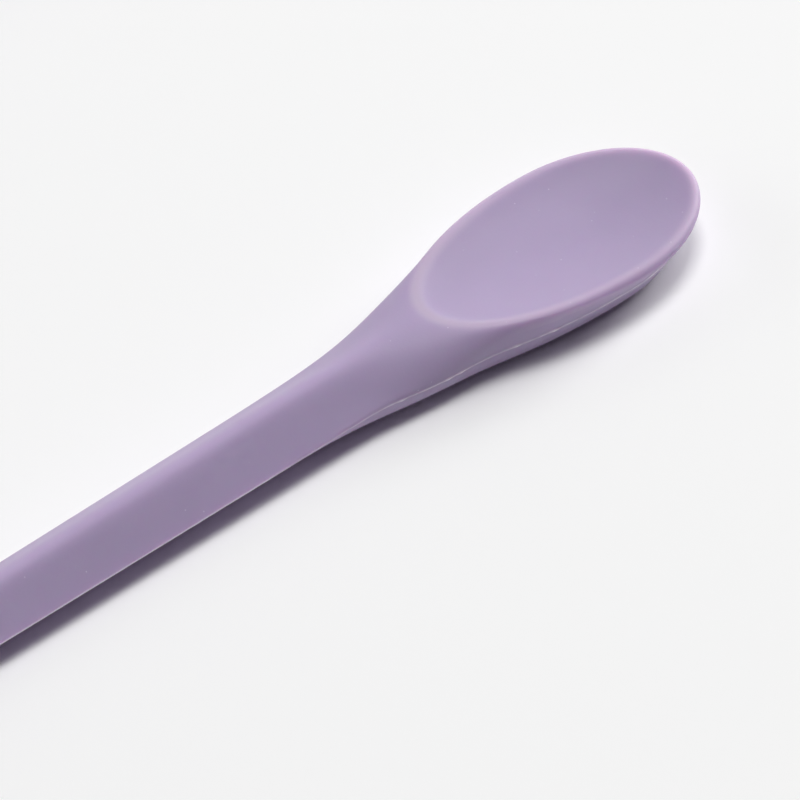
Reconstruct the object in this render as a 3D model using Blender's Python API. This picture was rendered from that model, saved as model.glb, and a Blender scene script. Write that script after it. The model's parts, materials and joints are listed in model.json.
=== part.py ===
"""A pair of cooking chopsticks, each with a small tasting spoon on its grip end.

Each stick is a soft silicone cover moulded over a stiff nylon core. The pair lies on its flat soles, tips
together and spoons apart. Metres, +Z up, with the origin on the table under the middle of the pair.
"""

import math

import bmesh
import bpy

# The pair
STICK_LENGTH = 0.300
SPREAD = math.radians(20)
TIP_GAP = 0.0006
PIVOT_FROM_TIP = 0.190

# Height of the mould's parting plane above the table, under the widest line of the spoon
PARTING_HEIGHT = 0.0037

# Lip of the spoon: an egg outline measured from its widest line, front towards the spoon's tip. The lip falls
# towards the tip and curls up again there. It is a rounded bead round the bowl, with a crest inside the outline
# and a shoulder on it. The bead's outer edge falls more steeply, curls up more and tucks in at the tip, and it
# reaches further back, where the neck grows.
LIP_FRONT = 0.0163
LIP_REAR = 0.0238
LIP_HALF_WIDTH = 0.0108
LIP_HEIGHT = 0.00344
LIP_FALL = 0.0271
LIP_RISE = 0.00029
LIP_BAND = 0.00158
LIP_BEAD = 0.00032
LIP_CREST_INSET = 0.00075
LIP_SHOULDER_SHARE = 0.39
LIP_EDGE = 0.00134
LIP_EDGE_FALL = 0.060
LIP_EDGE_RISE = 0.0008
LIP_EDGE_TUCK_FRONT = 0.0007
LIP_EDGE_REACH_REAR = 0.00114
BOWL_DEPTH = 0.0022

# Flank and underside of the spoon: how far each outline stands inside or behind the lip
FLANK_TUCK_FRONT = 0.0019
FLANK_TUCK_SIDE = 0.00164
FLANK_REACH_REAR = 0.00588
FLANK_RISE = 0.0012
CHINE_INSET = 0.0005
CHINE_HEIGHT = 0.00053
CHINE_RISE = 0.0014
SOLE_INSET_FRONT = 0.0056
SOLE_INSET_SIDE = 0.0032
SOLE_INSET_REAR = 0.0073

# Neck, from the rear of the lip to the square grip
NECK_LENGTH = 0.02336
NECK_HALF_WIDTHS = (0.00642, 0.00576, 0.0054)
NECK_HEIGHTS = (0.00442, 0.00479, 0.00513)
NECK_PLACES = (0.174, 0.416, 0.674)
NECK_SQUARENESS = (1.96, 2.26, 2.19)
NECK_SQUARENESS_BELOW = 2.5
NECK_TURN_TO_GRIP = (0.13, 0.75, 1.0)

# Square grip, standing on its corner, and the tip that it tapers to
GRIP_HALF_DIAGONAL = 0.00517
GRIP_RIDGE_HEIGHT = 0.00518
GRIP_RIDGE_SOFTNESS = 0.00307
GRIP_CORNER_SOFTNESS = 0.0007
TAPER_END_HALF_DIAGONAL = 0.0031
TIP_RADIUS = 0.0023
ROUND_LENGTH = 0.050
SQUARE_TO_ROUND_LENGTH = 0.060

# Grip grooves round the tip
GROOVE_COUNT = 6
GROOVE_PITCH = 0.0032
GROOVE_DEPTH = 0.00022
GROOVES_FROM_TIP = 0.0065

# Core inside the cover
FIT_GAP = 0.0003
WALL_AT_GRIP = 0.0014
WALL_AT_TIP = 0.0007
CORE_END_FROM_TIP = 0.006
TONGUE_THICKNESS = 0.0014
TONGUE_HALF_WIDTH = 0.0048
TONGUE_END_FROM_LIP = 0.0085
STUD_RADIUS = 0.0008
STUD_RECESS = 0.0001
STUDS_FROM_TIP = (0.060, 0.140, 0.220)
HEAD_STUD_FROM_LIP = 0.0165

# The sole is modelled this much too deep and then cut flat on the table
SOLE_TRIM = 0.00015

# How the control mesh is laid out: counts, and shares of the size that each list divides
HEAD_COLUMNS = 24
NECK_COLUMNS = range(9, 16)
BOWL_LOOP_SHARES = (0.22, 0.48, 0.72, 0.88)
TOP_ANGLES = (0, 26, 50, 74)
SIDE_ANGLE = 70
BOTTOM_ANGLES = (52, 34, 17, 0)
UNDER_FACET_SHARES = (0.5, 0.86)
SOLE_EDGE_SHARE = 0.75
ROUNDING_SHARES = (0.33, 0.67, 1.0)
DOME_SHARES = ((1.1, 1.0), (0.42, 0.86), (0.08, 0.55), (0.0, 0.25))
TONGUE_NOSE_SHARES = ((0.0, 0.35, 0.6), (0.4, 0.8, 1.0), (1.2, 1.0, 1.0))
CORE_SIDES = 12
STUD_SIDES = 12
SMOOTHING_LEVEL = 1
CUTTER_DEPTH = 0.003

# Values that follow from the sizes above
TIP_X = LIP_FRONT - STICK_LENGTH
PIVOT_X = TIP_X + PIVOT_FROM_TIP
GRIP_X = -(LIP_REAR + NECK_LENGTH)
PARTING_SLOPE = (PARTING_HEIGHT - TIP_RADIUS) / -TIP_X


def clear_scene():
    for obj in list(bpy.data.objects):
        bpy.data.objects.remove(obj, do_unlink=True)


def make_material(name, colour, roughness):
    material = bpy.data.materials.new(name)
    material.use_nodes = True
    shader = material.node_tree.nodes["Principled BSDF"]
    shader.inputs["Base Color"].default_value = (*colour, 1.0)
    shader.inputs["Roughness"].default_value = roughness
    return material


def parting_height(x):
    """Height of the parting plane above the table: the stick slopes gently down to its thin tip."""
    return PARTING_HEIGHT + PARTING_SLOPE * x


def egg_loop(front, rear, half_width, height, fall=0.0, rise=0.0, from_table=False):
    """One closed outline round the spoon: two half ellipses that meet at the widest line."""
    points = []
    for column in range(HEAD_COLUMNS):
        angle = 2 * math.pi * column / HEAD_COLUMNS
        reach = front if math.cos(angle) > 0 else rear
        x = reach * math.cos(angle)
        base = 0.0 if from_table else parting_height(x)
        z = base + height - fall * x + rise * max(0.0, x / front) ** 2
        points.append((x, half_width * math.sin(angle), z))
    return points


def head_loops():
    """Outlines of the spoon from the middle of its bowl, over the lip and down to the middle of its sole.

    Returns the loops and the place in them of the one that the top of the neck grows from.
    """
    outline = (LIP_FRONT, LIP_REAR, LIP_HALF_WIDTH)
    inner = [size - LIP_BAND for size in outline]
    loops = []
    for share in (*BOWL_LOOP_SHARES, 1.0):
        sizes = [size * share for size in inner]
        depth = LIP_BEAD + BOWL_DEPTH * (1 - share**2)
        loops.append(egg_loop(*sizes, LIP_HEIGHT - depth, LIP_FALL, LIP_RISE * share**2))
    crest = [size - LIP_CREST_INSET for size in outline]
    loops.append(egg_loop(*crest, LIP_HEIGHT, LIP_FALL, LIP_RISE))
    edge = (LIP_FRONT - LIP_EDGE_TUCK_FRONT, LIP_REAR + LIP_EDGE_REACH_REAR, LIP_HALF_WIDTH)
    for sizes, share in ((outline, LIP_SHOULDER_SHARE), (edge, 1.0)):
        height = LIP_HEIGHT - LIP_EDGE * share
        fall = LIP_FALL + LIP_EDGE_FALL * share
        loops.append(egg_loop(*sizes, height, fall, LIP_RISE + LIP_EDGE_RISE * share))
    neck_top = len(loops) - 1
    front = LIP_FRONT - FLANK_TUCK_FRONT
    rear = LIP_REAR + FLANK_REACH_REAR
    side = LIP_HALF_WIDTH - FLANK_TUCK_SIDE
    loops.append(egg_loop(front, rear, side, 0.0, rise=FLANK_RISE))
    chine = (front - CHINE_INSET, rear - CHINE_INSET, side - CHINE_INSET)
    loops.append(egg_loop(*chine, CHINE_HEIGHT, rise=CHINE_RISE, from_table=True))
    sole = (front - SOLE_INSET_FRONT, rear - SOLE_INSET_REAR, side - SOLE_INSET_SIDE)
    loops.append(egg_loop(*sole, -SOLE_TRIM, from_table=True))
    loops.append(egg_loop(*[size / 2 for size in sole], -SOLE_TRIM, from_table=True))
    return loops, neck_top


def both_sides(top, side, bottom):
    """A ring from its right half: over the top from left to right, then under from right to left.

    Each half list runs outwards from the middle on top, and inwards to the middle below.
    """
    left_top = [(-y, z) for y, z in reversed(top[1:])]
    left_bottom = [(-y, z) for y, z in reversed(bottom[:-1])]
    left_side = [(-y, z) for y, z in reversed(side)]
    return left_top + top + side + bottom + left_bottom + left_side


def along(start, end, distance):
    length = math.dist(start, end)
    return tuple(a + (b - a) * distance / length for a, b in zip(start, end))


def square_ring(half_width, ridge, depth):
    """Control points of the square grip: soft ridge on top, crisp side corners, flat sole below."""
    apex, corner = (0.0, ridge), (half_width, 0.0)
    sole_edge = (half_width - depth, -depth)
    by_ridge = along(apex, corner, GRIP_RIDGE_SOFTNESS)
    by_corner = along(corner, apex, GRIP_CORNER_SOFTNESS)
    middle = tuple((a + b) / 2 for a, b in zip(by_ridge, by_corner))
    facet = math.dist(corner, sole_edge)
    under = [along(corner, sole_edge, facet * share) for share in UNDER_FACET_SHARES]
    inside_sole = (sole_edge[0] * SOLE_EDGE_SHARE, -depth)
    return both_sides(
        [apex, by_ridge, middle, by_corner],
        [corner, along(corner, sole_edge, GRIP_CORNER_SOFTNESS)],
        [*under, inside_sole, (0.0, -depth)],
    )


def round_ring(half_width, top, depth, squareness_above=2.0, squareness_below=2.0):
    """Control points of a round section, or of a squarer one where the squareness is over 2."""

    def point(degrees, height, squareness):
        angle = math.radians(degrees)
        power = 2 / squareness
        return half_width * math.sin(angle) ** power, height * max(0.0, math.cos(angle)) ** power

    return both_sides(
        [point(degrees, top, squareness_above) for degrees in TOP_ANGLES],
        [(half_width, 0.0), point(SIDE_ANGLE, -depth, squareness_below)],
        [point(degrees, -depth, squareness_below) for degrees in BOTTOM_ANGLES],
    )


def mixed_ring(first, second, share):
    return [tuple(a + (b - a) * share for a, b in zip(p, q)) for p, q in zip(first, second)]


def placed_ring(x, ring):
    """The ring at a place along the stick, round the parting plane there."""
    return [(x, y, parting_height(x) + z) for y, z in ring]


def taper(x, at_grip, at_tip):
    return at_tip + (at_grip - at_tip) * (x - TIP_X) / (GRIP_X - TIP_X)


def grip_ring(x):
    half_width = taper(x, GRIP_HALF_DIAGONAL, TAPER_END_HALF_DIAGONAL)
    ridge = taper(x, GRIP_RIDGE_HEIGHT, TAPER_END_HALF_DIAGONAL)
    return square_ring(half_width, ridge, parting_height(x) + SOLE_TRIM)


def tip_ring(x, radius):
    return placed_ring(x, round_ring(radius, radius, radius))


def neck_rings():
    """Three rings that turn the wide spoon into the square grip."""
    rings = []
    for place, half_width, height, above, turn in zip(
        NECK_PLACES, NECK_HALF_WIDTHS, NECK_HEIGHTS, NECK_SQUARENESS, NECK_TURN_TO_GRIP
    ):
        x = -(LIP_REAR + NECK_LENGTH * place)
        depth = parting_height(x) + SOLE_TRIM
        rounded = round_ring(half_width, height, depth, above, NECK_SQUARENESS_BELOW)
        squared = square_ring(half_width, height, depth)
        rings.append(placed_ring(x, mixed_ring(rounded, squared, turn)))
    return rings


def grip_rings():
    """Square rings down the taper, then rings that turn round towards the tip."""
    morph_start = TIP_X + ROUND_LENGTH + SQUARE_TO_ROUND_LENGTH
    steady = GRIP_RIDGE_HEIGHT
    places = [GRIP_X, GRIP_X - steady, (GRIP_X + morph_start) / 2, morph_start]
    rings = [placed_ring(x, grip_ring(x)) for x in places]
    for share in ROUNDING_SHARES:
        x = morph_start - SQUARE_TO_ROUND_LENGTH * share
        radius = parting_height(x)
        rounded = round_ring(radius, radius, radius)
        rings.append(placed_ring(x, mixed_ring(grip_ring(x), rounded, share)))
    return rings


def tip_rings():
    """Round rings with the grip grooves, closed by a domed end."""
    first = TIP_X + GROOVES_FROM_TIP + GROOVE_PITCH * GROOVE_COUNT
    # A smoothed control ring that alternates with its neighbours keeps a third of its depth.
    control_depth = 3 * GROOVE_DEPTH
    rings = []
    for groove in range(GROOVE_COUNT):
        x = first - GROOVE_PITCH * groove
        rings.append(tip_ring(x, parting_height(x)))
        x -= GROOVE_PITCH / 2
        rings.append(tip_ring(x, parting_height(x) - control_depth))
    rings.append(tip_ring(TIP_X + GROOVES_FROM_TIP, TIP_RADIUS))
    for along_dome, across_dome in DOME_SHARES:
        x = TIP_X + TIP_RADIUS * along_dome
        rings.append(tip_ring(x, TIP_RADIUS * across_dome))
    return rings


def skin(mesh, first, second):
    """A band of faces between two loops of points that run the same way."""
    for k, vert in enumerate(first):
        after = (k + 1) % len(first)
        mesh.faces.new((vert, first[after], second[after], second[k]))


def finish_mesh(mesh, name, material):
    bmesh.ops.recalc_face_normals(mesh, faces=mesh.faces)
    bmesh.ops.translate(mesh, verts=mesh.verts, vec=(-PIVOT_X, 0.0, 0.0))
    data = bpy.data.meshes.new(name)
    mesh.to_mesh(data)
    mesh.free()
    data.materials.append(material)
    data.shade_smooth()
    return data


def cover_mesh(material):
    """Control cage of the cover: the spoon's outlines, then the neck, grip and tip grown from its rear."""
    mesh = bmesh.new()
    points, neck_top = head_loops()
    loops = [[mesh.verts.new(point) for point in loop] for loop in points]
    neck_bottom = neck_top + 3
    for row in range(len(loops) - 1):
        skin(mesh, loops[row], loops[row + 1])
    mesh.faces.new(loops[0])
    mesh.faces.new(loops[-1])
    far, near = NECK_COLUMNS[0], NECK_COLUMNS[-1]
    inside = [loops[row][k] for row in range(neck_top + 1, neck_bottom) for k in NECK_COLUMNS[1:-1]]
    bmesh.ops.delete(mesh, geom=inside, context="VERTS")
    top = [loops[neck_top][k] for k in reversed(NECK_COLUMNS)]
    bottom = [loops[neck_bottom][k] for k in NECK_COLUMNS]
    flank_rows = range(neck_top + 1, neck_bottom)
    ring = top + [loops[row][far] for row in flank_rows]
    ring += bottom + [loops[row][near] for row in reversed(flank_rows)]
    for places in neck_rings() + grip_rings() + tip_rings():
        following = [mesh.verts.new(place) for place in places]
        skin(mesh, ring, following)
        ring = following
    mesh.faces.new(ring)
    return finish_mesh(mesh, "cover", material)


def core_sections(grow):
    """Half width, half thickness and centre height of the core at places along the stick."""
    grip_radius = GRIP_HALF_DIAGONAL / math.sqrt(2) - WALL_AT_GRIP - FIT_GAP + grow
    tip_radius = TIP_RADIUS - WALL_AT_TIP - FIT_GAP + grow
    thin = TONGUE_THICKNESS / 2 + grow
    wide = TONGUE_HALF_WIDTH + grow
    floor = parting_height(0) + LIP_HEIGHT - LIP_BEAD - BOWL_DEPTH
    tongue_end = LIP_FRONT - TONGUE_END_FROM_LIP
    core_end = TIP_X + CORE_END_FROM_TIP
    neck_middle = -(LIP_REAR + NECK_LENGTH / 2)
    mid_radius = (grip_radius + thin) / 2
    nose = [
        (tongue_end + grow - TONGUE_HALF_WIDTH * back, wide * across, thin * up, floor / 2)
        for back, across, up in TONGUE_NOSE_SHARES
    ]
    return nose + [
        (-LIP_REAR / 2, wide, thin, floor / 2),
        (-LIP_REAR, (wide + grip_radius) / 2, mid_radius, (floor / 2 + parting_height(-LIP_REAR)) / 2),
        (neck_middle, grip_radius, grip_radius, parting_height(neck_middle)),
        (GRIP_X, grip_radius, grip_radius, parting_height(GRIP_X)),
        (core_end, tip_radius, tip_radius, parting_height(core_end)),
        (core_end - tip_radius / 2 - grow, tip_radius / 2, tip_radius / 2, parting_height(core_end)),
    ]


def core_mesh(name, material, grow=0.0):
    """The core's rod and tongue as a skin over its sections, or its cavity where it grows by a gap."""
    mesh = bmesh.new()
    rings = []
    for x, wide, thick, height in core_sections(grow):
        ring = []
        for side in range(CORE_SIDES):
            angle = 2 * math.pi * side / CORE_SIDES
            ring.append(mesh.verts.new((x, wide * math.cos(angle), height + thick * math.sin(angle))))
        rings.append(ring)
    for first, second in zip(rings, rings[1:]):
        skin(mesh, first, second)
    mesh.faces.new(rings[0])
    mesh.faces.new(rings[-1])
    return finish_mesh(mesh, name, material)


def stud_mesh(name, material, radius, bottom):
    """Round studs that hold the core off the mould, from inside the core down to the sole."""
    mesh = bmesh.new()
    places = [TIP_X + distance for distance in STUDS_FROM_TIP] + [LIP_FRONT - HEAD_STUD_FROM_LIP]
    floor = parting_height(0) + LIP_HEIGHT - LIP_BEAD - BOWL_DEPTH
    heights = [parting_height(x) for x in places[:-1]] + [floor / 2]
    for x, top in zip(places, heights):
        made = bmesh.ops.create_cone(
            mesh, cap_ends=True, segments=STUD_SIDES, radius1=radius, radius2=radius, depth=top - bottom
        )
        bmesh.ops.translate(mesh, verts=made["verts"], vec=(x, 0.0, (top + bottom) / 2))
    return finish_mesh(mesh, name, material)


def slab_mesh(name, material):
    """A block under the table, which cuts the sole flat."""
    mesh = bmesh.new()
    bmesh.ops.create_cube(mesh, size=1.0)
    bmesh.ops.scale(mesh, verts=mesh.verts, vec=(2 * STICK_LENGTH, 4 * LIP_HALF_WIDTH, CUTTER_DEPTH))
    bmesh.ops.translate(mesh, verts=mesh.verts, vec=(PIVOT_X, 0.0, -CUTTER_DEPTH / 2))
    return finish_mesh(mesh, name, material)


def place_object(name, data, parent, helper=False):
    obj = bpy.data.objects.new(name, data)
    bpy.context.scene.collection.objects.link(obj)
    obj.parent = parent
    if helper:
        obj.hide_render = True
        obj.display_type = "WIRE"
    return obj


def add_boolean(obj, name, operation, other):
    modifier = obj.modifiers.new(name, "BOOLEAN")
    modifier.operation = operation
    modifier.object = other


def make_stick(name, meshes, side):
    """One stick under an empty on its pivot. The side is -1 or 1, for the stick towards -Y or +Y."""
    turn = side * SPREAD / 2
    head_reach = math.hypot(LIP_FRONT * math.cos(turn), LIP_HALF_WIDTH * math.sin(turn))
    straight = (STICK_LENGTH - LIP_FRONT - TIP_RADIUS) * math.cos(turn)
    dome_x = -(straight + head_reach - TIP_RADIUS) / 2
    dome_y = side * (TIP_RADIUS + TIP_GAP / 2)
    lever = PIVOT_FROM_TIP - TIP_RADIUS
    frame = place_object(name, None, None)
    frame.location = (dome_x + lever * math.cos(turn), dome_y + lever * math.sin(turn), 0.0)
    frame.rotation_euler.z = turn
    helpers = {
        key: place_object(f"{name}_{key}", meshes[key], frame, helper=True)
        for key in ("sole_cutter", "cavity_cutter", "stud_hole_cutter", "studs")
    }
    core = place_object(f"{name}_core", meshes["core"], frame)
    add_boolean(core, "studs", "UNION", helpers["studs"])
    cover = place_object(f"{name}_cover", meshes["cover"], frame)
    smoothing = cover.modifiers.new("smoothing", "SUBSURF")
    smoothing.levels = SMOOTHING_LEVEL
    smoothing.render_levels = SMOOTHING_LEVEL
    add_boolean(cover, "sole", "DIFFERENCE", helpers["sole_cutter"])
    add_boolean(cover, "cavity", "DIFFERENCE", helpers["cavity_cutter"])
    add_boolean(cover, "stud_holes", "DIFFERENCE", helpers["stud_hole_cutter"])


def main():
    clear_scene()
    silicone = make_material("lavender_silicone", (0.43, 0.35, 0.52), 0.5)
    nylon = make_material("core_nylon", (0.24, 0.24, 0.26), 0.45)
    meshes = {
        "cover": cover_mesh(silicone),
        "core": core_mesh("core", nylon),
        "studs": stud_mesh("studs", nylon, STUD_RADIUS, STUD_RECESS),
        "sole_cutter": slab_mesh("sole_cutter", silicone),
        "cavity_cutter": core_mesh("cavity_cutter", silicone, grow=FIT_GAP),
        "stud_hole_cutter": stud_mesh("stud_holes", silicone, STUD_RADIUS + FIT_GAP, -CUTTER_DEPTH),
    }
    make_stick("fixed_stick", meshes, -1)
    make_stick("moving_stick", meshes, 1)


main()
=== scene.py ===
# %% [markdown]
# # Cooking chopsticks with tasting spoons
#
# The object is a pair of long cooking chopsticks. Each stick is a soft lavender silicone cover, moulded over a stiff
# core, with a small spoon on its grip end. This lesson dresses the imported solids: it models one cover finely, copies
# it for the second stick, and gives every surface its finish.

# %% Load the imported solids
import json
import math

import bmesh
import bpy
from mathutils import Matrix, Vector, noise


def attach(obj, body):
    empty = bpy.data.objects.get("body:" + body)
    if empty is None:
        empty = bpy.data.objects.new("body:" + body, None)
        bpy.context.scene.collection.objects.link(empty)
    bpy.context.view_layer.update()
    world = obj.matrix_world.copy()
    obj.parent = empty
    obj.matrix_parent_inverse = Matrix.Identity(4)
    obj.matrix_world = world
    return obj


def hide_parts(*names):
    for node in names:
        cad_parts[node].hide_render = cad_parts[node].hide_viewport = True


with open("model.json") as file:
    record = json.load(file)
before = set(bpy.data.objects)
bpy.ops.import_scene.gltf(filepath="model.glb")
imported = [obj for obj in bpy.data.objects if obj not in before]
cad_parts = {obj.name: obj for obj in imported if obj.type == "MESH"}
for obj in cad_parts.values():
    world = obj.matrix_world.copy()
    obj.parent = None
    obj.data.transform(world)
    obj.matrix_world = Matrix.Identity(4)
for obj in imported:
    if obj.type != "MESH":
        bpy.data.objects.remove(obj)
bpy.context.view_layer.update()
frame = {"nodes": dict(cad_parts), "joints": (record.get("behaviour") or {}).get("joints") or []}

MM = 0.001
SAME_POINT = 0.001 * MM


# %% [markdown]
# ## Sizes of one stick
#
# One stick is modelled along X in its own frame. The widest line of the spoon is at zero, the spoon's tip is towards
# +X, and the table is at zero height. The sizes are the ones of the solids, so the fine cover lies where they do. Only
# two forms differ a little: the bead round the bowl has a more marked inner foot, and the neck's side corners sit a
# little higher. Every size has a name, so that it can be changed in one place.

# %% The sizes
STICK_LENGTH = 300 * MM
PARTING_HEIGHT = 3.7 * MM
LIP_FRONT = 16.3 * MM
LIP_REAR = 23.8 * MM
LIP_HALF_WIDTH = 10.8 * MM
LIP_HEIGHT = 3.44 * MM
LIP_FALL = 0.0271
LIP_RISE = 0.29 * MM
LIP_BAND = 1.7 * MM
LIP_CREST_INSET = 0.75 * MM
LIP_SHOULDER_SHARE = 0.39
LIP_EDGE = 1.34 * MM
LIP_EDGE_FALL = 0.060
LIP_EDGE_RISE = 0.8 * MM
LIP_EDGE_TUCK_FRONT = 0.7 * MM
LIP_EDGE_REACH_REAR = 1.14 * MM
LIP_BEAD = 0.4 * MM
BOWL_DEPTH = 2.12 * MM
TIP_RADIUS = 2.3 * MM
TIP_X = LIP_FRONT - STICK_LENGTH
PARTING_SLOPE = (PARTING_HEIGHT - TIP_RADIUS) / -TIP_X
SOLE_TRIM = 0.15 * MM
HEAD_COLUMNS = 24
REAR_COLUMN = HEAD_COLUMNS // 2
NECK_COLUMN = 9


def parting_height(x):
    """The stick slopes gently from the spoon to its thin tip, and the mould's parting line with it."""
    return PARTING_HEIGHT + PARTING_SLOPE * x


print("stick from", round(TIP_X, 4), "to", LIP_FRONT)

# %% [markdown]
# ## Tools for modelling by hand
#
# The cover is symmetric, so only its far half is modelled, and a Mirror modifier gives the other. The work is always
# the same: pick a row of points, extrude it, and carry each new point to its place. These helpers pick in code what
# a hand would click on. A mesh could also be given as one list of points and faces, but then the steps that made the
# form would be lost.

# %% Helpers for picking and extruding


def show_only(obj):
    bpy.ops.object.select_all(action="DESELECT")
    obj.select_set(True)
    bpy.context.view_layer.objects.active = obj


def open_mesh():
    mesh = bmesh.from_edit_mesh(bpy.context.object.data)
    mesh.verts.ensure_lookup_table()
    mesh.edges.ensure_lookup_table()
    return mesh


def pick_path(row):
    """Selects the points of a row, given by number, and the edges from each to the next."""
    bpy.ops.mesh.select_all(action="DESELECT")
    mesh = open_mesh()
    for number in row:
        mesh.verts[number].select_set(True)
    for first, second in zip(row, row[1:]):
        edge = mesh.edges.get((mesh.verts[first], mesh.verts[second]))
        edge.select_set(True)
    bmesh.update_edit_mesh(bpy.context.object.data)
    return mesh


def carry(row, places):
    """Moves each point of a row to its place."""
    for number, place in zip(row, places):
        mesh = pick_path([number])
        bpy.ops.transform.translate(value=Vector(place) - mesh.verts[number].co)


def extrude_row(row, places):
    """Extrudes a row and carries the new points to their places. It returns the numbers of the new row."""
    mesh = pick_path(row)
    count = len(mesh.verts)
    bpy.ops.mesh.extrude_region_move()
    mesh = open_mesh()
    fresh = range(count, len(mesh.verts))
    new_row = []
    for number in row:
        start = mesh.verts[number].co
        new_row.append(min(fresh, key=lambda other: (mesh.verts[other].co - start).length))
    carry(new_row, places)
    return new_row


def fill_row(row):
    pick_path(row)
    bpy.ops.mesh.edge_face_add()


# %% [markdown]
# ## The spoon's outlines
#
# The spoon is an egg in plan: two half ellipses that share their widest line. Every row from the middle of the bowl,
# over the lip and down to the sole is such an egg at its own height, so one small function gives them all. Curves
# drawn by hand would do as well, but eggs from the same three sizes stay in step when a size changes.

# %% Egg outlines
BOWL_SHARES = (0.08, 0.22, 0.48, 0.72, 0.88, 1.0)


def egg_row(front, rear, half_width, height, fall=0.0, rise=0.0, from_table=False):
    places = []
    for column in range(REAR_COLUMN + 1):
        angle = 2 * math.pi * column / HEAD_COLUMNS
        x = (front if math.cos(angle) > 0 else rear) * math.cos(angle)
        base = 0.0 if from_table else parting_height(x)
        z = base + height - fall * x + rise * max(0.0, x / front) ** 2
        places.append((x, half_width * math.sin(angle), z))
    return places


def bowl_rows():
    outline = (LIP_FRONT, LIP_REAR, LIP_HALF_WIDTH)
    inner = [size - LIP_BAND for size in outline]
    rows = []
    for share in BOWL_SHARES:
        sizes = [size * share for size in inner]
        depth = LIP_BEAD + BOWL_DEPTH * (1 - share**2)
        rows.append(egg_row(*sizes, LIP_HEIGHT - depth, LIP_FALL, LIP_RISE * share**2))
    crest = [size - LIP_CREST_INSET for size in outline]
    rows.append(egg_row(*crest, LIP_HEIGHT, LIP_FALL, LIP_RISE))
    edge = (LIP_FRONT - LIP_EDGE_TUCK_FRONT, LIP_REAR + LIP_EDGE_REACH_REAR, LIP_HALF_WIDTH)
    for sizes, share in ((outline, LIP_SHOULDER_SHARE), (edge, 1.0)):
        height = LIP_HEIGHT - LIP_EDGE * share
        fall = LIP_FALL + LIP_EDGE_FALL * share
        rows.append(egg_row(*sizes, height, fall, LIP_RISE + LIP_EDGE_RISE * share))
    return rows


FLANK_TUCK_FRONT = 1.9 * MM
FLANK_REACH_REAR = 5.88 * MM
FLANK_TUCK_SIDE = 1.64 * MM
FLANK = (LIP_FRONT - FLANK_TUCK_FRONT, LIP_REAR + FLANK_REACH_REAR, LIP_HALF_WIDTH - FLANK_TUCK_SIDE)
FLANK_RISE = 1.2 * MM
CHINE_INSET = 0.5 * MM
CHINE_HEIGHT = 0.53 * MM
CHINE_RISE = 1.4 * MM
SOLE_INSETS = (5.6 * MM, 7.3 * MM, 3.2 * MM)
SOLE = [size - inset for size, inset in zip(FLANK, SOLE_INSETS)]


def flank_rows():
    chine = [size - CHINE_INSET for size in FLANK]
    parting = egg_row(*FLANK, 0.0, rise=FLANK_RISE)
    return [parting, egg_row(*chine, CHINE_HEIGHT, rise=CHINE_RISE, from_table=True)]


def sole_rows():
    outer = egg_row(*SOLE, -SOLE_TRIM, from_table=True)
    inner = egg_row(*[size / 2 for size in SOLE], -SOLE_TRIM, from_table=True)
    return [outer, inner]


print("bowl rows", len(bowl_rows()))

# %% [markdown]
# ## Modelling the spoon
#
# A circle is the start. Its near half is deleted, it is scaled into the smallest egg, and the rows of the bowl, the
# lip, the flank and the sole are extruded from it one after the other. The flank rows stop short of the rear, which
# leaves an opening with ten points for the neck to grow from. The bowl could also be sculpted, or cut with a Boolean.
# Rows of four-sided faces were chosen because they smooth cleanly and run along the lip.

# %% The spoon's cage
bpy.ops.object.select_all(action="DESELECT")
rows = bowl_rows()
bpy.ops.mesh.primitive_circle_add(vertices=HEAD_COLUMNS, radius=LIP_BAND, fill_type="NOTHING")
cover = bpy.context.object
cover.name = "fixed_cover"
bpy.ops.object.mode_set(mode="EDIT")
bpy.ops.mesh.select_all(action="DESELECT")
for vert in open_mesh().verts:
    vert.select_set(vert.co.y < -LIP_BAND / HEAD_COLUMNS)
bpy.ops.mesh.delete(type="VERT")
bpy.ops.object.mode_set(mode="OBJECT")
bpy.ops.object.mode_set(mode="EDIT")
arc = sorted(open_mesh().verts, key=lambda vert: -vert.co.x)
row = [vert.index for vert in arc]
carry(row, rows[0])
fill_row(row)
for places in rows[1:]:
    row = extrude_row(row, places)
lip_edge = row
flank = lip_edge[: NECK_COLUMN + 1]
flank_line = []
for places in flank_rows():
    flank = extrude_row(flank, places[: NECK_COLUMN + 1])
    flank_line.append(flank)
outer_sole, inner_sole = sole_rows()
sole = extrude_row(flank, outer_sole[: NECK_COLUMN + 1])
for place in outer_sole[NECK_COLUMN + 1 :]:
    sole += extrude_row(sole[-1:], [place])
fill_row(extrude_row(sole, inner_sole))
print("spoon cage", len(open_mesh().verts), "points")

# %% [markdown]
# ## Sections of the neck, the grip and the tip
#
# The grip is a square bar that stands on its corner: a soft ridge on top, crisp side corners where the mould parts,
# and a narrow flat below. The neck starts as a rounder section behind the spoon and turns into the square. The far
# end turns into a circle. Each section is ten points from the top round the far side to the bottom. A stretched cube
# would give the grip alone. Ten points were chosen because they can pass from the spoon's opening to the square and
# on to the circle.

# %% Sections
RIDGE_SOFTNESS = 3.07 * MM
CORNER_SOFTNESS = 0.7 * MM
CORNER_POINT = 4
ANGLES_ABOVE = (0, 26, 50, 74, 90)
ANGLES_BELOW = (70, 52, 34, 17, 0)
FACET_SHARES = (0.5, 0.86)
SOLE_SHARE = 0.75


def between(start, end, distance):
    start, end = Vector(start), Vector(end)
    return start + (end - start).normalized() * distance


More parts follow.
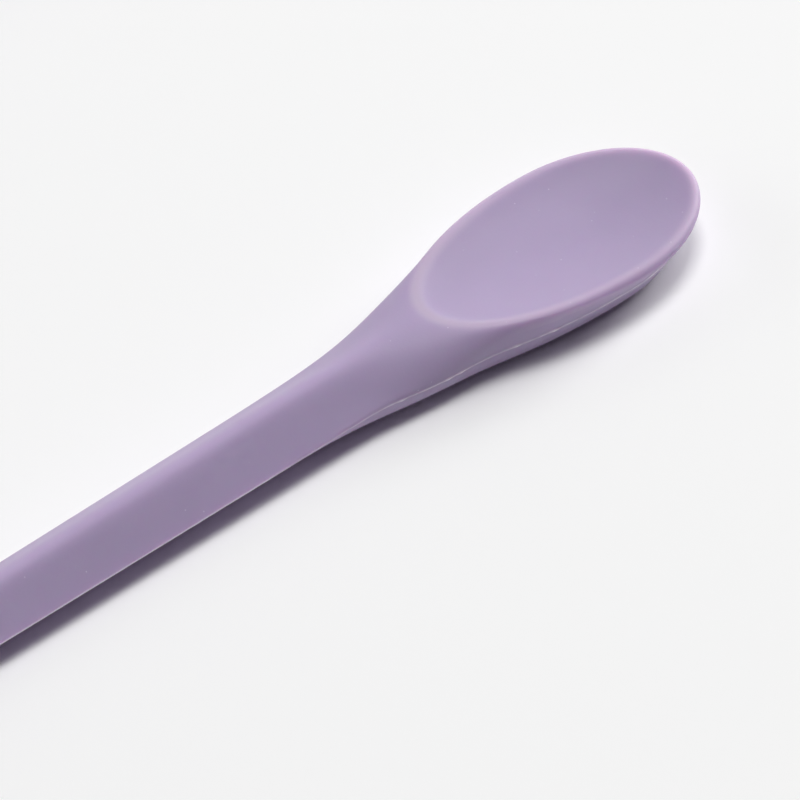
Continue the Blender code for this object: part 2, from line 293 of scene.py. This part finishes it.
def square_section(half_width, ridge, depth):
    apex, corner, sole_edge = (0.0, ridge), (half_width, 0.0), (half_width - depth, -depth)
    by_ridge = between(apex, corner, RIDGE_SOFTNESS)
    by_corner = between(corner, apex, CORNER_SOFTNESS)
    facet = math.dist(corner, sole_edge)
    points = [apex, by_ridge, (by_ridge + by_corner) / 2, by_corner, corner]
    distances = [CORNER_SOFTNESS] + [share * facet for share in FACET_SHARES]
    points += [between(corner, sole_edge, distance) for distance in distances]
    return [Vector(point) for point in points + [(SOLE_SHARE * sole_edge[0], -depth), (0.0, -depth)]]


def round_section(half_width, top, depth, square_above=2.0, square_below=2.0):
    points = []
    above = [(degrees, top, square_above) for degrees in ANGLES_ABOVE]
    below = [(degrees, -depth, square_below) for degrees in ANGLES_BELOW]
    for degrees, height, square in above + below:
        angle = math.radians(degrees)
        across = math.sin(angle) ** (2 / square)
        points.append(Vector((half_width * across, height * max(0.0, math.cos(angle)) ** (2 / square))))
    return points


def mixed(first, second, share):
    return [a.lerp(b, share) for a, b in zip(first, second)]


def at_place(x, section):
    return [(x, point.x, parting_height(x) + point.y) for point in section]


print("points in a section", len(square_section(5 * MM, 5 * MM, 3 * MM)))

# %% [markdown]
# ## Growing the neck and the grip
#
# The opening behind the spoon is extruded three times for the neck, which turns from round to square. There the side
# corner sits a little higher than elsewhere, over a steeper face. Then come the straight, tapering square grip and the
# sections that turn round. A curve with a profile could make such a bar. Extruding was chosen because the bar and the
# spoon then share one skin, as in the moulded cover.

# %% Neck and grip
NECK_LENGTH = 23.36 * MM
GRIP_X = -(LIP_REAR + NECK_LENGTH)
GRIP_HALF_DIAGONAL = 5.17 * MM
GRIP_RIDGE = 5.18 * MM
TAPER_END = 3.1 * MM
ROUND_LENGTH = 50 * MM
TURNING_LENGTH = 60 * MM
TURNING_STEPS = (0.33, 0.67, 1.0)
SQUARE_BELOW = 2.5
# the side corner and the point on each side of it, with the part of the lift that each one takes
LIFTED_POINTS = ((CORNER_POINT - 1, 0.6), (CORNER_POINT, 1.0), (CORNER_POINT + 1, 0.4))
# share of the neck's length, half width, height, squareness above, share of the square section above and below, lift
# of the side corner
NECK_SECTIONS = (
    (0.174, 6.42 * MM, 4.42 * MM, 1.96, 0.13, 0.0, 0.0),
    (0.416, 5.36 * MM, 4.79 * MM, 2.26, 0.75, 0.1, 0.55 * MM),
    (0.674, 5.20 * MM, 5.13 * MM, 2.19, 1.0, 0.6, 0.27 * MM),
)


def tapered(x, at_grip):
    return TAPER_END + (at_grip - TAPER_END) * (x - TIP_X) / (GRIP_X - TIP_X)


def grip_section(x):
    depth = parting_height(x) + SOLE_TRIM
    return square_section(tapered(x, GRIP_HALF_DIAGONAL), tapered(x, GRIP_RIDGE), depth)


ring = list(reversed(lip_edge[NECK_COLUMN:])) + [line[-1] for line in flank_line] + sole[NECK_COLUMN:]
rings = []
for share, half_width, height, square, turn_above, turn_below, lift in NECK_SECTIONS:
    x = -(LIP_REAR + NECK_LENGTH * share)
    depth = parting_height(x) + SOLE_TRIM
    rounded = round_section(half_width, height, depth, square, SQUARE_BELOW)
    squared = square_section(half_width, height, depth)
    upper, lower = mixed(rounded, squared, turn_above), mixed(rounded, squared, turn_below)
    section = upper[: CORNER_POINT + 1] + lower[CORNER_POINT + 1 :]
    for point, part in LIFTED_POINTS:
        section[point].y += lift * part
    ring = extrude_row(ring, at_place(x, section))
    rings.append(ring)
turning_x = TIP_X + ROUND_LENGTH + TURNING_LENGTH
for x in (GRIP_X, GRIP_X - GRIP_RIDGE, (GRIP_X + turning_x) / 2, turning_x):
    ring = extrude_row(ring, at_place(x, grip_section(x)))
    rings.append(ring)
for turn in TURNING_STEPS:
    x = turning_x - TURNING_LENGTH * turn
    radius = parting_height(x)
    section = mixed(grip_section(x), round_section(radius, radius, radius), turn)
    ring = extrude_row(ring, at_place(x, section))
    rings.append(ring)
print("sections so far", len(rings))

# %% [markdown]
# ## The grooved tip
#
# The chopstick end is round and has shallow grooves that keep slippery food from sliding. A groove is a smaller ring
# between two full ones. Smoothing keeps about a third of the step, so the ring goes three times as deep as the groove.
# A few shrinking rings make the domed end. A bump texture could stand for grooves this shallow, but it wouldn't show
# in the outline.

# %% Tip
GROOVE_COUNT = 6
GROOVE_PITCH = 3.2 * MM
GROOVE_DEPTH = 0.22 * MM
SMOOTHING_LOSS = 3
GROOVES_FROM_TIP = 6.5 * MM
DOME = ((1.1, 1.0), (0.42, 0.86), (0.08, 0.55), (0.0, 0.25))


def add_round(ring, x, radius):
    rings.append(extrude_row(ring, at_place(x, round_section(radius, radius, radius))))
    return rings[-1]


for groove in range(GROOVE_COUNT):
    x = TIP_X + GROOVES_FROM_TIP + GROOVE_PITCH * (GROOVE_COUNT - groove)
    ring = add_round(ring, x, parting_height(x))
    x -= GROOVE_PITCH / 2
    ring = add_round(ring, x, parting_height(x) - SMOOTHING_LOSS * GROOVE_DEPTH)
ring = add_round(ring, TIP_X + GROOVES_FROM_TIP, TIP_RADIUS)
for along, across in DOME:
    ring = add_round(ring, TIP_X + TIP_RADIUS * along, TIP_RADIUS * across)
fill_row(ring)
print("cage", len(open_mesh().verts), "points in the far half")

# %% [markdown]
# ## Marking the parting line
#
# The two halves of the mould meet along the sides of the stick. Those edges are marked as a seam now, because the
# mark survives smoothing, and the fine line of flash is raised along it later. A crease would survive too, but it
# would sharpen the edge. A seam leaves the form alone.

# %% Seam, mirror and smoothing
SMOOTH_LEVELS = 3
pick_path(flank_line[0] + [section[CORNER_POINT] for section in rings])
bpy.ops.mesh.mark_seam()
bpy.ops.mesh.select_all(action="SELECT")
bpy.ops.mesh.normals_make_consistent(inside=False)
bpy.ops.object.mode_set(mode="OBJECT")
mirror = cover.modifiers.new("mirror", "MIRROR")
mirror.use_axis = (False, True, False)
mirror.merge_threshold = SAME_POINT
bpy.ops.object.modifier_apply(modifier="mirror")
smooth = cover.modifiers.new("smooth", "SUBSURF")
smooth.levels = smooth.render_levels = SMOOTH_LEVELS
bpy.ops.object.modifier_apply(modifier="smooth")
print("cover", len(cover.data.polygons), "faces,", sum(e.use_seam for e in cover.data.edges), "seam edges")

# %% [markdown]
# ## The flash line and its painted highlight
#
# Where the mould parts, a little silicone creeps between its halves and leaves a fine raised line. It is torn along the
# spoon and the neck, and clean along the grip. The seam's edges are bevelled into a narrow strip, and the middle of the
# strip is pushed out. A few torn nibs of flash stand a little higher. The same points get a number that the silicone's
# colour reads later: a painted highlight, paler where light catches the thin flash. It is ragged along the spoon and
# the neck, faint along the grip and brightest on the nibs. A thin tube laid along the edge would be simpler, but flash
# belongs to the skin of the cover.

# %% Raising the flash and painting its highlight
FLASH_HALF_WIDTH = 0.28 * MM
FLASH_HEIGHT = 0.11 * MM
FLASH_END_X = -160 * MM
CLEAN_FLASH_X = -38 * MM
CLEAN_FLASH_HIGHLIGHT = 0.3
NIB_PLACES = [place * MM for place in (-31.9, -25.7, -24.4, -16.6, -11.5, 8.0, 11.0)]
NIB_LENGTH = 0.45 * MM
NIB_HEIGHT = 0.10 * MM
FLASH_BREAKS = 600
FLASH_SPREAD = 0.5
FLASH_HIGHLIGHT_SHARE = 0.34
FLASH_RAGGEDNESS = 0.8
FLASH_LIMITS = (0.05, 0.8)
NIB_HIGHLIGHT_SHARE = 0.9


def pick_verts(numbers):
    bpy.ops.mesh.select_mode(type="VERT")
    bpy.ops.mesh.select_all(action="DESELECT")
    mesh = open_mesh()
    for number in numbers:
        mesh.verts[number].select_set(True)
    mesh.select_flush(True)
    bmesh.update_edit_mesh(bpy.context.object.data)


bpy.ops.object.mode_set(mode="EDIT")
bpy.ops.mesh.select_mode(type="EDGE")
bpy.ops.mesh.select_all(action="DESELECT")
for edge in open_mesh().edges:
    edge.select_set(edge.seam and min(vert.co.x for vert in edge.verts) > FLASH_END_X)
bpy.ops.mesh.bevel(offset=FLASH_HALF_WIDTH, segments=2, affect="EDGES", clamp_overlap=True)
crest = {vert.index for vert in open_mesh().verts if vert.select and all(f.select for f in vert.link_faces)}
nibs = [n for n in crest if min(abs(open_mesh().verts[n].co.x - x) for x in NIB_PLACES) < NIB_LENGTH]
pick_verts(crest)
bpy.ops.transform.shrink_fatten(value=FLASH_HEIGHT)
pick_verts(nibs)
bpy.ops.transform.shrink_fatten(value=NIB_HEIGHT)
bpy.ops.object.mode_set(mode="OBJECT")
# painted highlight: the flash crest's colour is made paler where light would catch it
painted_flash_highlight = cover.data.attributes.new("painted_flash_highlight", "FLOAT", "POINT")
for number in crest:
    broken = noise.noise(cover.data.vertices[number].co * FLASH_BREAKS)
    ragged_highlight = min(FLASH_LIMITS[1], max(FLASH_LIMITS[0], FLASH_HIGHLIGHT_SHARE + FLASH_RAGGEDNESS * broken))
    painted_flash_highlight.data[number].value = ragged_highlight if cover.data.vertices[number].co.x > CLEAN_FLASH_X else CLEAN_FLASH_HIGHLIGHT
for number in nibs:
    painted_flash_highlight.data[number].value = NIB_HIGHLIGHT_SHARE
for edge in cover.data.edges:
    for inner, outer in (edge.vertices, reversed(edge.vertices)):
        if inner in crest and outer not in crest:
            painted_flash_highlight.data[outer].value = max(painted_flash_highlight.data[outer].value, FLASH_SPREAD * painted_flash_highlight.data[inner].value)
print("flash crest", len(crest), "points, nibs", len(nibs))

# %% [markdown]
# ## The lip's painted glow
#
# Silicone looks paler where it is thin and light comes through, as on the bead round the bowl. Besides the scattering
# in
# the material, this glow is painted: each point gets a number for the colour to read, greatest on the crest of the
# bead, and nothing about a millimetre away. The painted glow is a little stronger at the two ends of the bowl. At the
# rear it reaches further out, where the bead fades into the neck. A painted image could do this, but it would need an
# unwrapped mesh. Numbers on points are enough for a soft edge.

# %% Marking the lip's painted glow
GLOW_REACH_INWARDS = 1.3 * MM
GLOW_REACH_OUTWARDS = 0.65 * MM
GLOW_REAR_INSET = 0.35 * MM
GLOW_ON_SIDES = 0.6
GLOW_MORE_AT_ENDS = 0.3
MIDDLE_OF_BOWL = 0.5
crest_sizes = (LIP_FRONT - LIP_CREST_INSET, LIP_REAR - GLOW_REAR_INSET, LIP_HALF_WIDTH - LIP_CREST_INSET)


def painted_glow_share(point):
    """Share of painted glow: greatest on the crest of the bead, seen from above, and falling to nothing on both sides
    of it.
    """
    reach, side = crest_sizes[0 if point.x > 0 else 1], crest_sizes[2]
    share = math.hypot(point.x / reach, point.y / side)
    if share < MIDDLE_OF_BOWL:
        return 0.0
    distance = (share - 1) * share / math.hypot(point.x / reach**2, point.y / side**2)
    end = point.x / reach / share
    limit = GLOW_REACH_INWARDS
    if distance > 0:
        limit = GLOW_REACH_OUTWARDS * (1 + max(0.0, -end) ** 2)
    return (GLOW_ON_SIDES + GLOW_MORE_AT_ENDS * end**2) * max(0.0, 1 - (distance / limit) ** 2) ** 2


# painted glow: the thin lip's colour is made paler here, standing for light shining through it
painted_lip_glow = cover.data.attributes.new("painted_lip_glow", "FLOAT", "POINT")
for number, vert in enumerate(cover.data.vertices):
    above = vert.co.z > parting_height(vert.co.x) + LIP_HEIGHT - LIP_EDGE
    painted_lip_glow.data[number].value = painted_glow_share(vert.co) if above else 0.0
print("lip points", sum(item.value > 0 for item in painted_lip_glow.data))

# %% [markdown]
# ## The flat sole
#
# The stick lies steady because its underside is flat. The cage was made a hair too deep, and one cut at the table's
# height takes that off and fills the cut with a flat face. Rows laid flat in the cage would be rounded again by the
# smoothing, so the cut comes after it. Points that the bevel left on top of each other are merged first.

# %% Cutting the sole
bpy.ops.object.mode_set(mode="EDIT")
bpy.ops.mesh.select_all(action="SELECT")
bpy.ops.mesh.remove_doubles(threshold=2 * SAME_POINT)
bpy.ops.mesh.bisect(plane_co=(0, 0, 0), plane_no=(0, 0, 1), use_fill=True, clear_inner=True, threshold=SAME_POINT)
bpy.ops.mesh.select_all(action="SELECT")
bpy.ops.mesh.normals_make_consistent(inside=False)
bpy.ops.object.mode_set(mode="OBJECT")
print("lowest point", min(vert.co.z for vert in cover.data.vertices))

# %% [markdown]
# ## Into place
#
# The sticks lie in a V, tips together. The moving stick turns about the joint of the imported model, and the fixed one
# lies mirrored to it. The cover could have been modelled there, but a stick along X is easier to measure. It is turned
# and moved now, and the transform is applied so that its place is in its mesh.

# %% Placing the first cover
HALF_SPREAD = math.radians(10)
PIVOT_FROM_TIP = 190 * MM
PIVOT_X = TIP_X + PIVOT_FROM_TIP
pivot = Vector(frame["joints"][0]["pos_m"])


def stick_place(side):
    """Where a stick lies: side is -1 for the fixed stick and 1 for the moving one."""
    turn = Matrix.Rotation(side * HALF_SPREAD, 4, "Z")
    return Matrix.Translation((pivot.x, side * pivot.y, 0)) @ turn @ Matrix.Translation((-PIVOT_X, 0, 0))


def settle(obj, place):
    show_only(obj)
    obj.matrix_world = place
    bpy.ops.object.transform_apply(location=True, rotation=True, scale=True)


settle(cover, stick_place(-1))
print("cover from", [round(v, 4) for v in cover.bound_box[0]], "to", [round(v, 4) for v in cover.bound_box[6]])

# %% [markdown]
# ## Room for the core
#
# The stiff core and its studs sit inside the cover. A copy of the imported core, grown by the fitting gap, is cut out
# of the cover with a Boolean, so the studs show in their holes in the sole as on the real stick. The room could be
# modelled by hand, but the copy is sure to fit.

# %% Cutting the core's room
FIT_GAP = 0.3 * MM
SHARP_ANGLE = math.radians(40)
room = frame["nodes"]["fixed_stick_core"].copy()
room.data = room.data.copy()
room.parent = None
bpy.context.scene.collection.objects.link(room)
show_only(room)
bpy.ops.object.mode_set(mode="EDIT")
bpy.ops.mesh.select_all(action="SELECT")
bpy.ops.mesh.remove_doubles(threshold=SAME_POINT)
bpy.ops.transform.shrink_fatten(value=FIT_GAP, use_even_offset=True)
bpy.ops.object.mode_set(mode="OBJECT")
show_only(cover)
cut = cover.modifiers.new("room", "BOOLEAN")
cut.operation = "DIFFERENCE"
cut.object = room
bpy.ops.object.modifier_apply(modifier="room")
bpy.data.objects.remove(room, do_unlink=True)
cover.data.materials.clear()
bpy.ops.object.shade_smooth_by_angle(angle=SHARP_ANGLE)
print("cover", len(cover.data.polygons), "faces")

# %% [markdown]
# ## The second stick
#
# Both sticks come out of the same mould. The finished cover is copied and laid on the other side. A linked copy would
# share one mesh. This one gets its own, because each cover's place is in its mesh.

# %% Copying the cover
moving_cover = cover.copy()
moving_cover.data = cover.data.copy()
moving_cover.name = "moving_cover"
bpy.context.scene.collection.objects.link(moving_cover)
settle(moving_cover, stick_place(1) @ stick_place(-1).inverted())
for piece, body in ((cover, "fixed_stick"), (moving_cover, "moving_stick")):
    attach(piece, body)
    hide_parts(body + "_cover")
print("pieces", cover.name, moving_cover.name)

# %% [markdown]
# ## Silicone
#
# The cover is dyed silicone: a soft satin, slightly translucent, with light glowing in thin edges. A plain satin colour
# would be quicker, but it looks like hard plastic, so subsurface scattering gives the glow. A large noise varies the
# dye by a few per cent.

# %% Silicone material
DYE = (0.427, 0.342, 0.530)
DYE_VARIATION = 0.025
DEPTH_OF_GLOW = 2.4 * MM


def new_material(name):
    material = bpy.data.materials.new(name)
    material.use_nodes = True
    return material, material.node_tree.nodes, material.node_tree.links


def add_node(nodes, kind, **values):
    node = nodes.new(kind)
    for key, value in values.items():
        node.inputs[key.replace("_", " ")].default_value = value
    return node


silicone, nodes, links = new_material("lavender_silicone")
shader = nodes["Principled BSDF"]
shader.inputs["Roughness"].default_value = 0.5
shader.inputs["Specular IOR Level"].default_value = 0.4
shader.inputs["Subsurface Weight"].default_value = 1.0
shader.inputs["Subsurface Radius"].default_value = (1.0, 0.62, 0.80)
shader.inputs["Subsurface Scale"].default_value = DEPTH_OF_GLOW
shader.inputs["IOR"].default_value = 1.41
place = nodes.new("ShaderNodeTexCoord")
cloud = add_node(nodes, "ShaderNodeTexNoise", Scale=70.0, Detail=2.0)
links.new(place.outputs["Object"], cloud.inputs["Vector"])
dye = nodes.new("ShaderNodeValToRGB")
dye.color_ramp.elements[0].position, dye.color_ramp.elements[1].position = 0.3, 0.7
dye.color_ramp.elements[0].color = (*[(1 - DYE_VARIATION) * value for value in DYE], 1)
dye.color_ramp.elements[1].color = (*[(1 + DYE_VARIATION) * value for value in DYE], 1)
links.new(cloud.outputs["Fac"], dye.inputs["Fac"])
print("dye", [round(value, 3) for value in dye.color_ramp.elements[0].color[:3]], "and a little lighter")

# %% [markdown]
# ## Painted paler places
#
# The thin lip and the torn flash are painted paler than the rest, as painted glow and painted highlight, and a little
# dust clings to silicone. The numbers stored on the points say where the painted lip glow and the painted flash
# highlight are. The dust is the middles of small cells in a Voronoi texture. Each of the three is mixed over the dye.
# Separate materials would be easier to follow, but they would meet in hard borders.

# %% Painted lip glow, painted flash highlight and dust
# paler colour for real dust specks and for the painted highlight on the flash
PALE_DUST_AND_FLASH_HIGHLIGHT = (0.74, 0.68, 0.80)
# colour of the painted glow on the thin lip
PAINTED_LIP_GLOW_COLOUR = (0.515, 0.428, 0.568)


def mix_in(base, colour, share):
    """Mixes a colour over what a socket gives, by the share that another socket gives."""
    mix = nodes.new("ShaderNodeMix")
    mix.data_type = "RGBA"
    first, second = [socket for socket in mix.inputs if socket.type == "RGBA"]
    second.default_value = (*colour, 1)
    links.new(base, first)
    links.new(share, mix.inputs["Factor"])
    return [socket for socket in mix.outputs if socket.type == "RGBA"][0]


def painted_share(name):
    share = nodes.new("ShaderNodeAttribute")
    share.attribute_name = name
    return share.outputs["Fac"]


dust = add_node(nodes, "ShaderNodeTexVoronoi", Scale=480.0)
links.new(place.outputs["Object"], dust.inputs["Vector"])
speck = nodes.new("ShaderNodeMapRange")
for key, value in (("From Min", 0.025), ("From Max", 0.045), ("To Min", 0.6), ("To Max", 0.0)):
    speck.inputs[key].default_value = value
links.new(dust.outputs["Distance"], speck.inputs["Value"])
# painted glow on the lip
colour = mix_in(dye.outputs["Color"], PAINTED_LIP_GLOW_COLOUR, painted_share("painted_lip_glow"))
# painted highlight on the flash line
colour = mix_in(colour, PALE_DUST_AND_FLASH_HIGHLIGHT, painted_share("painted_flash_highlight"))
colour = mix_in(colour, PALE_DUST_AND_FLASH_HIGHLIGHT, speck.outputs["Result"])
links.new(colour, shader.inputs["Base Color"])
print("colours mixed over the dye", len([node for node in nodes if node.type == "MIX"]))

# %% [markdown]
# ## The blasted skin
#
# The mould was finely blasted, which leaves the silicone matt with a grain that can just be felt. The grain is far too
# fine to model, so a small noise drives a bump, which only tilts the light.

# %% Fine grain
blast = add_node(nodes, "ShaderNodeTexNoise", Scale=3200.0, Detail=3.0)
links.new(place.outputs["Object"], blast.inputs["Vector"])
bump = add_node(nodes, "ShaderNodeBump", Strength=0.4, Distance=0.02 * MM)
links.new(blast.outputs["Fac"], bump.inputs["Height"])
links.new(bump.outputs["Normal"], shader.inputs["Normal"])
for piece in (cover, moving_cover):
    piece.data.materials.append(silicone)
print("silicone on", cover.name, moving_cover.name)

# %% [markdown]
# ## Nylon
#
# Only the ends of the core's studs show, in the sole. Glass-filled nylon is a dull grey with a fine fleck. A plain
# grey would nearly do, but a noise gives the fleck at little cost.

# %% Nylon material
nylon, nodes, links = new_material("core_nylon")
shader = nodes["Principled BSDF"]
shader.inputs["Roughness"].default_value = 0.5
place = nodes.new("ShaderNodeTexCoord")
fleck = add_node(nodes, "ShaderNodeTexNoise", Scale=1800.0, Detail=4.0)
links.new(place.outputs["Object"], fleck.inputs["Vector"])
grey = nodes.new("ShaderNodeValToRGB")
grey.color_ramp.elements[0].color = (0.19, 0.19, 0.21, 1)
grey.color_ramp.elements[1].color = (0.29, 0.29, 0.31, 1)
links.new(fleck.outputs["Fac"], grey.inputs["Fac"])
links.new(grey.outputs["Color"], shader.inputs["Base Color"])
for name in ("fixed_stick_core", "moving_stick_core"):
    core = frame["nodes"][name]
    core.data.materials.clear()
    core.data.materials.append(nylon)
print("nylon on the cores")

# %% [markdown]
# ## Floor
#
# The stick lies on a plain pale table. A plane with a matt white finish is enough. It lies a hair under the sole, so
# that two faces never share one place.

# %% Floor
FLOOR_COLOUR = (0.97, 0.97, 0.97)
FLOOR_DROP = 0.02 * MM
FLOOR_SIZE = 6.0
bpy.ops.object.select_all(action="DESELECT")
bpy.ops.mesh.primitive_plane_add(size=FLOOR_SIZE, location=(0, 0, -FLOOR_DROP))
floor = bpy.context.object
floor.name = "floor"
paper, nodes, links = new_material("pale_paper")
nodes["Principled BSDF"].inputs["Base Color"].default_value = (*FLOOR_COLOUR, 1)
nodes["Principled BSDF"].inputs["Roughness"].default_value = 0.9
nodes["Principled BSDF"].inputs["Specular IOR Level"].default_value = 0.0
floor.data.materials.append(paper)
print("floor", FLOOR_SIZE, "m wide")

# %% [markdown]
# ## Camera
#
# The camera looks down at the spoon of the fixed stick, across its length, from far off with a long lens. The angles
# are measured from the stick, so they stay right wherever the stick lies.

# %% Camera
HEADING = math.radians(41.25)
TILT = math.radians(45)
DISTANCE = 0.7
FOCAL_PIXELS = 6230
IMAGE_PIXELS = 800
PICTURE_MIDDLE = (-29.75 * MM, -2.64 * MM, 0)
lie = stick_place(-1)
target = lie @ Vector(PICTURE_MIDDLE)
ahead = lie.to_3x3() @ Vector((math.sin(HEADING), math.cos(HEADING), 0))
camera = bpy.data.objects.new("camera", bpy.data.cameras.new("camera"))
bpy.context.scene.collection.objects.link(camera)
bpy.context.scene.camera = camera
camera.location = target + DISTANCE * (Vector((0, 0, math.sin(TILT))) - math.cos(TILT) * ahead)
camera.rotation_euler = (target - camera.location).to_track_quat("-Z", "Y").to_euler()
camera.data.lens = camera.data.sensor_width * FOCAL_PIXELS / IMAGE_PIXELS
print("camera at", [round(value, 4) for value in camera.location])

# %% [markdown]
# ## Light
#
# Most of the light comes from a softbox straight above, which keeps the shadow short and close under the stick. Softer
# ones stand beyond the spoon's end, at the back and at the left. An image of a studio could light the scene too, but
# single lamps can be set one by one.

# %% Lamps
SOFTBOX_DISTANCE = 3.0
WIDE_SOFTBOX = 2.25


def softbox(name, direction, power, size=WIDE_SOFTBOX):
    lamp = bpy.data.objects.new(name, bpy.data.lights.new(name, "AREA"))
    bpy.context.scene.collection.objects.link(lamp)
    lamp.data.size = size
    lamp.data.energy = power
    lamp.location = target + direction.normalized() * SOFTBOX_DISTANCE
    lamp.rotation_euler = (target - lamp.location).to_track_quat("-Z", "Y").to_euler()
    lamp.visible_camera = False


up = Vector((0, 0, 1))
right = ahead.cross(up)
softbox("overhead", up + 0.06 * ahead + 0.01 * right, power=42.5, size=1.0)
softbox("high_right", 0.37 * ahead + 0.37 * right + 0.85 * up, power=17, size=1.3)
softbox("back_right", 0.64 * ahead + 0.64 * right + 0.42 * up, power=47, size=1.2)
softbox("left", -0.95 * right + 0.25 * up, power=19)
softbox("front_left", -0.62 * ahead - 0.62 * right + 0.48 * up, power=4, size=1.2)
softbox("back_low", 0.9 * ahead + 0.42 * up, power=11.5)

# %% [markdown]
# ## Backdrop
#
# Past the edge of the table the picture stays pale. The world's colour does that. A light path node shows it only to
# the camera, to reflections and through clear things, so that it adds no light to the table or the sticks.

# %% World
BACKDROP_COLOUR = (0.91, 0.91, 0.91)
world = bpy.data.worlds.new("studio")
bpy.context.scene.world = world
world.use_nodes = True
nodes, links = world.node_tree.nodes, world.node_tree.links
backdrop = nodes["Background"]
backdrop.inputs["Color"].default_value = (*BACKDROP_COLOUR, 1)
rays = nodes.new("ShaderNodeLightPath")
seen = rays.outputs["Is Camera Ray"]
for kind in ("Is Glossy Ray", "Is Transmission Ray"):
    either = nodes.new("ShaderNodeMath")
    either.operation = "MAXIMUM"
    links.new(seen, either.inputs[0])
    links.new(rays.outputs[kind], either.inputs[1])
    seen = either.outputs["Value"]
links.new(seen, backdrop.inputs["Strength"])
bpy.context.scene.view_settings.view_transform = "Standard"
print("backdrop", world.name)
